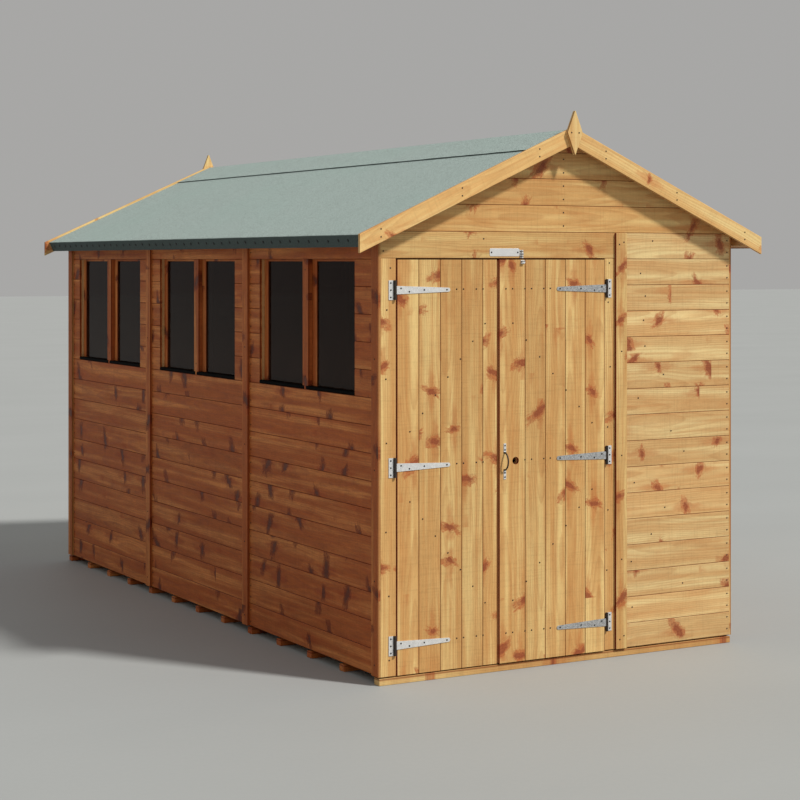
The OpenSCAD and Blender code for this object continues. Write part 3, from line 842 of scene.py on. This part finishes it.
class SHED_OT_end_walls(ShedOperator):
    """Boards the two end walls and their gables"""

    bl_idname = "shed.end_walls"
    bl_label = "End walls"

    def make(self):
        draw = draws("ends")
        pitch = sizes().pitch
        ridge = Vector((0, 0, roof_plane() - SEAM))
        slopes = [(ridge, Vector((side * math.sin(pitch), 0, math.cos(pitch)))) for side in (-1, 1)]
        for node, out, look, cuts in (("front_panel", -Y, "panel_timber", ()),
                                      ("front_door_header", -Y, "front_timber", ()),
                                      ("front_gable", -Y, "front_timber", slopes),
                                      ("rear_wall", Y, "panel_timber", ()),
                                      ("rear_gable", Y, "front_timber", slopes)):
            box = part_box(node)
            along = X if out == -Y else -X
            boards = lay_boards(box, along, out, wall_joints(box), draw, cuts)
            fit(boards, node + "_boards", look, node, slot="front_timber")
        jambs = timbers("front_door_jambs", Z, -Y, draw)
        fit(jambs, "front_jamb_boards", "front_timber", "front_door_jambs")


class SHED_OT_side_walls(ShedOperator):
    """Boards the side walls panel by panel, round the windows"""

    bl_idname = "shed.side_walls"
    bl_label = "Side walls"

    def make(self):
        draw = draws("sides")
        seams = side_seams()
        # The left wall wears the painted-shade copy of the timber, and the right wall a part-shaded one
        for node, out, look in (("left_wall_lower", -X, "side_timber"),
                                ("left_wall_upper", -X, "side_timber"), ("right_wall", X, "part_shaded_right_timber")):
            boards = self.bays(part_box(node), out, seams, SEAM, draw)
            fit(boards, node + "_boards", look, node, slot="side_timber")
        boards = []
        for box in solid_boxes("left_wall_piers"):
            boards += self.bays(box, -X, [y for y in seams if box[0].y < y < box[1].y], 0.0, draw)
        fit(boards, "left_pier_boards", "side_timber", "left_wall_piers")

    def bays(self, box, out, seams, gap, draw):
        """Boards of a wall, panel by panel between its seams."""
        low, high = box
        ends = [low.y, *seams, high.y]
        boards = []
        for a, b in zip(ends, ends[1:]):
            bay = (Vector((low.x, a + gap, low.z)), Vector((high.x, b - gap, high.z)))
            boards += lay_boards(bay, Y if out == X else -Y, out, wall_joints(bay), draw)
        return boards


class SHED_OT_trims(ShedOperator):
    """Cover strips over the panel joints and trims at the corners"""

    bl_idname = "shed.trims"
    bl_label = "Strips and corner trims"

    def make(self):
        draw = draws("trims")
        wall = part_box("right_wall")[1].x

        def outward(piece):
            middle = middle_of(piece)
            if abs(middle.x) > wall:
                return X if middle.x > 0 else -X
            return Y if middle.y > 0 else -Y

        ends, left, right = [], [], []
        for piece in timbers("cover_strips", Z, outward, draw):
            x = middle_of(piece).x
            (ends if abs(x) <= wall else left if x < 0 else right).append(piece)
        strips = fit(ends, "end_cover_strips", "front_timber", "cover_strips")
        # Left strips in the painted-shade copy of the timber, right strips in the part-shaded one
        fit(left, "left_cover_strips", "side_timber")
        fit(right, "right_cover_strips", "part_shaded_right_timber", slot="side_timber")
        trims = fit(timbers("corner_trims", Z, outward, draw), "corner_trim_boards", "side_timber",
                    "corner_trims")
        # One timber in two copies on each trim: faces to the front get the end walls' timber, faces to the
        # sides the darker copy, which is painted shade (only part shaded on the right)
        second_finish(trims, "part_shaded_right_timber", lambda face: face.center.x > 0)
        second_finish(trims, "front_timber", lambda face: abs(face.normal.y) > 0.6)
        # Painted shade: the end strips' side faces in the dark red-brown edge colour
        second_finish(strips, "painted_shade_edge", lambda face: abs(face.normal.x) > 0.6)


class SHED_OT_roof_boards(ShedOperator):
    """Roof boards from eaves to ridge, their V joints seen from inside"""

    bl_idname = "shed.roof_boards"
    bl_label = "Roof boards"

    def make(self):
        draw = draws("roof")
        s = sizes()
        low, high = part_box("roof_boards")
        end = (high.x - SEAM) / math.cos(s.pitch) - DECK * math.tan(s.pitch)
        flat = (Vector((0.003, low.y, 0.0)), Vector((end, high.y, DECK)))
        count = int((high.y - low.y) / s.roof_board) + 1
        joints = [low.y + k * s.roof_board for k in range(1, count)]
        boards = lay_boards(flat, X, -Z, joints, draw)
        both = [placed(board.data, slope_matrix(side)) for side in (1, -1) for board in boards]
        for board in boards:
            bpy.data.objects.remove(board)
        fit(both, "roof_board_faces", "inner_timber", "roof_boards", slot="roof_timber")


class SHED_OT_felt(ShedOperator):
    """Felt on both slopes, the ridge cap over it and the strips folded down at the eaves"""

    bl_idname = "shed.felt"
    bl_label = "Roof felt"

    def make(self):
        draw = draws("felt")
        s = sizes()
        low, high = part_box("roof_felt")
        run = high.x / math.cos(s.pitch) - (DECK + FELT) * math.tan(s.pitch)
        for side, name in ((1, "roof_felt_right"), (-1, "roof_felt_left")):
            sheet = self.sheet(0.002, run, low.y, high.y, DECK + 0.0002, (10, 72), draw, 0.0007)
            self.thicken(sheet, FELT - 0.0004)
            piece = fit([turned(sheet, slope_matrix(side))], name, "roof_felt", slot="slope_felt")
            if side > 0:
                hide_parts("roof_felt")
        self.cap(draw)
        folds = copy_solids("eave_felt")
        for fold in folds:
            ease(fold, 0.0012, lambda middle, way: abs(way.y) > 0.9)
        # The folds wear the felt's painted-shade copy
        fit(folds, "eave_felt_folds", "eave_felt", "eave_felt")
        self.clouts(run, draw)

    def cap(self, draw):
        """The cap: one sheet bent over the ridge."""
        pitch = sizes().pitch
        low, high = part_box("ridge_cap")
        width = (high.x - 0.0057) / math.cos(pitch)
        cover = self.sheet(-width, width, low.y, high.y, DECK + FELT, (12, 90), draw, 0.0012, 0.0016)
        for v in cover.data.vertices:
            x = abs(v.co.x) if abs(v.co.x) > 1e-4 else -v.co.z * math.tan(pitch)
            v.co = slope_matrix(1 if v.co.x > 0 else -1) @ Vector((x, v.co.y, v.co.z))
        self.thicken(cover, FELT)
        piece = fit([cover], "ridge_cap_felt", "roof_felt", "ridge_cap", slot="slope_felt")
        # The cap's cut edges take the darker eave felt: partly the felt's black bitumen edge, partly a
        # painted shadow line under the cap
        second_finish(piece, "eave_felt", lambda face: abs(face.normal.x) > 0.8)

    def clouts(self, run, draw):
        """A row of felt nails in each eave fold, with slightly uneven steps."""
        s = sizes()
        low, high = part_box("eave_felt")
        count = int((high.y - low.y - 0.04) / s.clout_step)
        start = -count * s.clout_step / 2
        places = [slope_matrix(1) @ Vector((run + BOARD_NAIL,
                                            start + k * s.clout_step + draw.uniform(-0.006, 0.006),
                                            -0.012 + draw.uniform(-0.002, 0.002)))
                  for k in range(count + 1)]
        for side, name in ((1, "eave_clouts_right"), (-1, "eave_clouts_left")):
            out = Vector((side * math.cos(s.pitch), 0, -math.sin(s.pitch)))
            drive(nail_head(s.clout), [Vector((side * p.x, p.y, p.z)) for p in places], out, name,
                  "shaded_clout_steel")

    def sheet(self, start, end, low, high, level, cuts, draw, wave, lift=0.0):
        """A flat felt sheet with faint waves, laid out down the slope and along the ridge."""
        deselect()
        bpy.ops.mesh.primitive_grid_add(x_subdivisions=cuts[0], y_subdivisions=cuts[1], size=1,
                                        location=((start + end) / 2, (low + high) / 2, level))
        made = bpy.context.object
        made.scale = (end - start, high - low, 1)
        bpy.ops.object.transform_apply(location=True, rotation=True, scale=True)
        for v in made.data.vertices:
            if min(v.co.y - low, high - v.co.y, abs(v.co.x)) > 0.003:
                share = abs(v.co.x) / max(abs(start), abs(end))
                v.co.z += draw.uniform(0, wave) + lift * max(0.0, share - 0.6) / 0.4
        return made

    def thicken(self, sheet, thick):
        """Gives a sheet its thickness, upwards."""
        body = sheet.modifiers.new("thickness", "SOLIDIFY")
        body.thickness = thick
        body.offset = 1.0
        body.use_even_offset = True
        bpy.ops.object.modifier_apply(modifier=body.name)


class SHED_OT_verges(ShedOperator):
    """Barge boards, finials, eave rails and purlins"""

    bl_idname = "shed.verges"
    bl_label = "Barge boards and roof timbers"

    def make(self):
        draw = draws("verges")
        pitch = sizes().pitch

        def down_slope(piece):
            side = 1 if middle_of(piece).x > 0 else -1
            return Vector((side * math.cos(pitch), 0, -math.sin(pitch)))

        for kind, along in (("barge_boards", down_slope), ("finial", Z)):
            for end, out in (("front_", -Y), ("rear_", Y)):
                fit_timbers(end + kind, along, out, draw, "_planed", "trim_timber")
        for node in ("eave_rails", "roof_purlins"):
            fit_timbers(node, Y, -Z, draw)


class SHED_OT_windows(ShedOperator):
    """Window frames, bars, drip beads and panes"""

    bl_idname = "shed.windows"
    bl_label = "Windows"

    def make(self):
        draw = draws("windows")
        # Window timbers in the painted-shade copy of the timber
        for node, along in (("window_stiles", Z), ("window_rails", Y), ("window_mullions", Z)):
            fit_timbers(node, along, -X, draw, "_planed", "side_timber")
        beads = copy_solids("window_beads")
        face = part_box("window_beads")[0].x
        for bead in beads:
            ease(bead, 0.006, lambda middle, way: abs(way.y) > 0.9 and middle.x < face + 0.001, 4)
        fit(beads, "window_drip_beads", "window_bead", "window_beads")
        panes = copy_solids("window_glass")
        for pane in panes:
            ease(pane, 0.0006)
        fit(panes, "window_panes", "window_glass", "window_glass", slot="glass")


class SHED_OT_floor(ShedOperator):
    """Floor boards and the bearers under them"""

    bl_idname = "shed.floor"
    bl_label = "Floor"

    def make(self):
        draw = draws("floor")
        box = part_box("floor_boards")
        joints = [box[0].x + k * sizes().roof_board for k in range(1, 20)]
        boards = lay_boards(box, Y, Z, joints, draw)
        fit(boards, "floor_board_faces", "inner_timber", "floor_boards", slot="roof_timber")
        bearers = timbers("floor_bearers", X, Z, draw)
        # Painted shade: the bearers under the side wear the darker shaded copy of the timber, the front one
        # the end walls' timber
        front = min(bearers, key=lambda o: middle_of(o).y)
        bearers.remove(front)
        fit(bearers, "floor_bearers_sawn", "side_timber", "floor_bearers")
        fit([front], "front_bearer_sawn", "front_timber")


class SHED_OT_framing(ShedOperator):
    """Studs and rails inside the walls"""

    bl_idname = "shed.framing"
    bl_label = "Framing"

    def make(self):
        draw = draws("framing")
        for node, along, out in (("wall_studs", Z, X), ("side_wall_rails", Y, X), ("end_wall_rails", X, -Y)):
            fit_timbers(node, along, out, draw)


class SHED_OT_doors(ShedOperator):
    """Boards, ledges and braces of the two door leaves"""

    bl_idname = "shed.doors"
    bl_label = "Doors"

    def make(self):
        draw = draws("doors")
        for leaf, side in (("left_door", -1), ("right_door", 1)):
            node = leaf + "_boards"
            low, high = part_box(node)
            hinge = low.x if side < 0 else high.x
            least = 0.05
            joints = [hinge - side * k * sizes().door_board for k in range(1, 6)]
            joints = [j for j in joints if low.x + least < j < high.x - least]
            boards = lay_boards((low, high), Z, -Y, joints, draw)
            if side > 0:
                self.bore_finger_hole(boards, Z, -Y, draw)
            faces = fit(boards, node + "_faces", "front_timber", node, body=leaf)
            # Painted shade on the leaf's two long edges and on the finger hole's wall
            second_finish(faces, "painted_shade_edge", lambda face: self.is_edge(face, low.x, high.x))
            ledges, braces = leaf + "_ledges", leaf + "_braces"
            made = timbers(ledges, X, Y, draw)
            if side > 0:
                self.bore_finger_hole(made, X, Y, draw)
            fit(made, ledges + "_planed", "inner_timber", ledges, body=leaf)
            fit(timbers(braces, self.brace_way, Y, draw), braces + "_planed", "inner_timber", braces,
                body=leaf)

    def is_edge(self, face, left, right):
        """Whether a face is the finger hole's wall or one of the leaf's two long edges."""
        place = face.center
        outer = min(abs(place.x - left), abs(place.x - right)) < 0.006 and abs(face.normal.x) > 0.6
        off = Vector((place.x, 0, place.z)) - self.finger_hole()
        return outer or (off.length < HOLE_RADIUS + 0.0015 and abs(face.normal.y) < 0.5)

    def finger_hole(self):
        """Axis of the finger hole, in the leaf's plane."""
        return Vector((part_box("right_door_boards")[0].x + HOLE_IN, 0, HINGE_HEIGHTS[1]))

    def brace_way(self, piece):
        """Direction of a brace, from its lowest point to its highest."""
        points = sorted((v.co for v in piece.data.vertices), key=lambda p: p.z)
        way = points[-1] - points[0]
        return Vector((way.x, 0, way.z)).normalized()

    def bore_finger_hole(self, pieces, along, out, draw):
        """Cuts the finger hole through the pieces that lie across it."""
        place = self.finger_hole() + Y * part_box("right_door_boards")[0].y
        for piece in pieces:
            spans = [(extent_of(piece, way), place.dot(way)) for way in (X, Z)]
            if not all(low < at < high for (low, high), at in spans):
                continue
            deselect()
            bpy.ops.mesh.primitive_cylinder_add(vertices=40, radius=HOLE_RADIUS, depth=0.2, location=place,
                                                rotation=(math.pi / 2, 0, 0))
            bore = bpy.context.object
            bpy.ops.object.transform_apply(location=True, rotation=True, scale=True)
            deselect()
            piece.select_set(True)
            bpy.context.view_layer.objects.active = piece
            hole = piece.modifiers.new("finger hole", "BOOLEAN")
            hole.operation = "DIFFERENCE"
            hole.solver = "EXACT"
            hole.object = bore
            bpy.ops.object.modifier_apply(modifier=hole.name)
            bpy.data.objects.remove(bore)
            mark_grain(piece, along, out, draw)


class SHED_OT_hardware(ShedOperator):
    """Hinges, handle, bolt and name plate with their screws"""

    bl_idname = "shed.hardware"
    bl_label = "Hinges, handle, bolt and plate"

    def make(self):
        for node, look in (("hinge_plates", "hinge_zinc"), ("left_hinge_straps", "hinge_zinc"),
                           ("right_hinge_straps", "hinge_worn_zinc"), ("door_handle", "handle_metal"),
                           ("top_bolt", "bolt_zinc"), ("bolt_keep", "bolt_zinc")):
            dress(node, look)
        plate = copy_solids("name_plate")
        ease(plate[0], 0.006, lambda middle, way: abs(way.y) > 0.9, 4)
        ease(plate[0], 0.0004)
        fit(plate, "name_plate_blank", "label_metal", "name_plate", slot="plate_metal")
        self.frame_screws()
        for leaf, side in (("left", 1), ("right", -1)):
            self.door_screws(leaf, side)

    def frame_screws(self):
        """Three screws in each hinge plate and two in the name plate."""
        low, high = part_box("hinge_plates")
        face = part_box("front_panel")[0].y - HINGE_METAL - SCREW
        points = [Vector((x, face, z + dz)) for x in (low.x + 0.0095, high.x - 0.0095)
                  for z in HINGE_HEIGHTS for dz in (-0.029, 0.0, 0.029)]
        low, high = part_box("name_plate")
        points += [Vector((x, low.y - SCREW, (low.z + high.z) / 2)) for x in (low.x + 0.009, high.x - 0.009)]
        drive(screw_head(sizes().screw), points, -Y, "frame_screws", "screw_steel")

    def door_screws(self, leaf, side):
        """Four screws in each strap, and two in each tab of the handle."""
        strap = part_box(leaf + "_hinge_straps")
        root = strap[0].x if side > 0 else strap[1].x
        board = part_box(leaf + "_door_boards")[0].y
        points = [Vector((root + side * dx, board - HINGE_METAL - SCREW, z + dz)) for z in HINGE_HEIGHTS
                  for dx, dz in ((0.035, 0.007), (0.074, -0.007), (0.144, 0.0), (0.252, 0.0))]
        if leaf == "right":
            low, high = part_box("door_handle")
            x = (low.x + high.x) / 2
            points += [Vector((x, board - HANDLE_METAL - SCREW, z + dz))
                       for z, way in ((low.z, 1), (high.z, -1)) for dz in (way * 0.009, way * 0.027)]
        drive(screw_head(sizes().screw), points, -Y, leaf + "_door_screws", "screw_steel", leaf + "_door")


class SHED_OT_nails(ShedOperator):
    """Nail heads in the walls, trims, barge boards and doors"""

    bl_idname = "shed.nails"
    bl_label = "Nails"

    def make(self):
        self.end_nails()
        self.strip_nails()
        self.side_nails()
        self.verge_nails()
        for leaf, side in (("left_door", -1), ("right_door", 1)):
            self.door_nails(leaf, side)

    def nail(self, points, out, name, body="shed"):
        drive(nail_head(sizes().nail), points, out, name, body=body)

    def end_nails(self):
        """Nails of the gables' and panels' boards, the jambs and the header."""
        course = sizes().course
        low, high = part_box("front_panel")
        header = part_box("front_door_header")[0]
        face = low.y - BOARD_NAIL
        edge = high.x - 0.012
        draw = draws("end nails")
        places = []
        level = high.z
        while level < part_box("front_gable")[1].z - 0.05:
            places += [(-0.004, level + 0.028), (-0.004, level + 0.085)]
            level += course
        rows = [high.z - k * course for k in range(1, 17)]
        for row in rows:
            bottom = max(row, low.z)
            places += [(edge, bottom + dz) for dz in NAIL_PAIR]
            if bottom > 0.1:
                places.append((0.345 + draw.uniform(0.0, 0.3), bottom + draw.uniform(0.03, 0.08)))
        for z in (0.1, 0.36, 0.62, 0.98, 1.24, 1.52, 1.69):
            places += [(header.x + 0.02 + draw.uniform(0, 0.03), z),
                       (low.x - 0.062 + draw.uniform(-0.01, 0.01), z + 0.02)]
        places += [(header.x + 0.012, header.z + 0.03), (header.x + 0.49, header.z + 0.082)]
        slope, margin = 0.45, 0.02
        front = [Vector((x, face, z)) for x, z in places if z < roof_plane() - abs(x) * slope - margin]
        self.nail(front, -Y, "front_wall_nails")
        back = [Vector((-p.x, -p.y, p.z)) for p in front if p.x > 0.3 or p.z > level - 0.6]
        back += [Vector((edge, -face, row + dz)) for row in rows if row > low.z for dz in NAIL_PAIR]
        self.nail(back, Y, "rear_wall_nails")

    def strip_nails(self):
        """Nails of the strip on each end wall."""
        low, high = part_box("cover_strips")
        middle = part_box("front_panel")[0].x
        places = ((-0.012, 1.79), (0.012, 1.8), (-0.01, 0.075), (0.012, 0.09),
                  (0, 1.326), (0, 0.874), (0, 0.423))
        for y, out, name in ((low.y - TRIM_NAIL, -Y, "front_strip_nails"),
                             (high.y + TRIM_NAIL, Y, "rear_strip_nails")):
            self.nail([Vector((middle + dx, y, z)) for dx, z in places], out, name)

    def side_nails(self):
        """Two nails a board beside each strip and corner trim, and those of the trims and window bars."""
        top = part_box("front_panel")[1].z
        low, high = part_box("corner_trims")
        seams = side_seams()
        edges = [low.y + 0.058, *[y + d for y in seams for d in (-0.029, 0.029)], high.y - 0.058]
        lines = [y + (0.014 if k % 2 == 0 else -0.014) for k, y in enumerate(edges)]
        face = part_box("left_wall_lower")[0].x - BOARD_NAIL
        walls = [Vector((face, y, top - k * sizes().course - dz)) for y in lines for k in range(16)
                 for dz in NAIL_PAIR]
        walls += [Vector((low.x - TRIM_NAIL, y, z)) for y in (*seams, low.y + 0.03, high.y - 0.03)
                  for z in (0.08, 0.42, 0.87, 1.32, 1.78)]
        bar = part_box("window_mullions")[0].x - TRIM_NAIL
        bars = [Vector((bar, (a.y + b.y) / 2, z)) for a, b in solid_boxes("window_mullions")
                for z in (1.215, 1.68)]
        self.nail(walls + bars, -X, "left_wall_nails")
        self.nail([Vector((-p.x, p.y, p.z)) for p in walls], X, "right_wall_nails")

    def verge_nails(self):
        """Pairs of nails along the barge boards, and two in each finial."""
        low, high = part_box("front_barge_boards")
        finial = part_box("front_finial")
        middle = (finial[0].z + finial[1].z) / 2
        slope = math.tan(sizes().pitch)
        pairs = [(side * x, high.z - x * slope - down) for side in (-1, 1) for x in (0.17, 0.55, 0.93)
                 for down in (0.022, 0.054)]
        for side, out, name in ((1, -Y, "front_verge_nails"), (-1, Y, "rear_verge_nails")):
            points = [Vector((x, side * (low.y - TRIM_NAIL), z)) for x, z in pairs]
            points += [Vector((x, side * (finial[0].y - TRIM_NAIL), middle)) for x in (-0.019, 0.019)]
            self.nail(points, out, name)

    def door_nails(self, leaf, side):
        """Rows of nails into a leaf's ledges and along its braces."""
        low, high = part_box(leaf + "_boards")
        hinge, free = (low.x, high.x) if side < 0 else (high.x, low.x)
        places = []
        for z in HINGE_HEIGHTS:
            x = hinge - side * 0.283
            while (free - x) * -side > 0.028:
                if abs(x - (low.x + HOLE_IN)) > 0.03 or side < 0 or z != HINGE_HEIGHTS[1]:
                    places.append((x, z + 0.002))
                x -= side * (0.033 if len(places) % 2 else 0.062)
        for top, bottom in ((1.53, 0.95), (0.22, 0.81)):
            places += [(free + (hinge - free) * k / 8, top + (bottom - top) * k / 8) for k in range(1, 8)]
        points = [Vector((x, low.y - BOARD_NAIL, z)) for x, z in places]
        self.nail(points, -Y, leaf + "_nails", leaf)


class SHED_OT_stage(ShedOperator):
    """Floor, soft lights and the camera"""

    bl_idname = "shed.stage"
    bl_label = "Stage"

    def make(self):
        deselect()
        bpy.ops.mesh.primitive_plane_add(size=160, location=(0, 0, -0.0005))
        floor = bpy.context.object
        floor.name = "studio_floor"
        floor.data.materials.append(finish("studio_floor"))
        world = bpy.data.worlds.new("studio")
        world.use_nodes = True
        sky = world.node_tree.nodes["Background"].inputs
        sky["Color"].default_value = (0.52, 0.515, 0.505, 1)
        sky["Strength"].default_value = 0.75
        bpy.context.scene.world = world
        key = bpy.data.lights.new("key", "SUN")
        key.energy = 3.1
        key.angle = math.radians(6)
        key.color = (1.0, 0.97, 0.92)
        lamp = bpy.data.objects.new("key", key)
        lamp.rotation_euler = Vector((0.383, -0.567, 0.728)).to_track_quat("Z", "Y").to_euler()
        bpy.context.collection.objects.link(lamp)
        lens = bpy.data.cameras.new("camera")
        lens.lens = 85.1
        lens.sensor_width = 36
        lens.shift_y = -0.174
        lens.clip_end = 300
        camera = bpy.data.objects.new("camera", lens)
        camera.location = (-4.572, -8.5525, 1.719)
        camera.rotation_euler = (math.radians(90), 0, math.radians(-29.35))
        bpy.context.collection.objects.link(camera)
        bpy.context.scene.camera = camera
        bpy.context.scene.view_settings.view_transform = "Standard"


OPERATORS = (SHED_OT_end_walls, SHED_OT_side_walls, SHED_OT_trims, SHED_OT_roof_boards, SHED_OT_felt,
             SHED_OT_verges, SHED_OT_windows, SHED_OT_floor, SHED_OT_framing, SHED_OT_doors,
             SHED_OT_hardware, SHED_OT_nails, SHED_OT_stage)


class SHED_PT_panel(Panel):
    """Sizes, colours and the steps that build the shed"""

    bl_idname = "SHED_PT_panel"
    bl_label = "Garden Shed"
    bl_space_type = "VIEW_3D"
    bl_region_type = "UI"
    bl_category = "Shed"

    def draw(self, context):
        for group in (context.scene.shed_sizes, context.scene.shed_colours):
            column = self.layout.box().column(align=True)
            for name in group.bl_rna.properties.keys():
                if name not in ("rna_type", "name"):
                    column.prop(group, name)
        steps = self.layout.column(align=True)
        for step in OPERATORS:
            steps.operator(step.bl_idname)


CLASSES = (ShedSizes, ShedColours, *OPERATORS, SHED_PT_panel)


def register():
    for c in CLASSES:
        bpy.utils.register_class(c)
    bpy.types.Scene.shed_sizes = PointerProperty(type=ShedSizes)
    bpy.types.Scene.shed_colours = PointerProperty(type=ShedColours)


def unregister():
    del bpy.types.Scene.shed_sizes
    del bpy.types.Scene.shed_colours
    for c in reversed(CLASSES):
        bpy.utils.unregister_class(c)


def main():
    register()
    for step in OPERATORS:
        group, name = step.bl_idname.split(".")
        getattr(getattr(bpy.ops, group), name)()


if __name__ == "__main__":
    main()
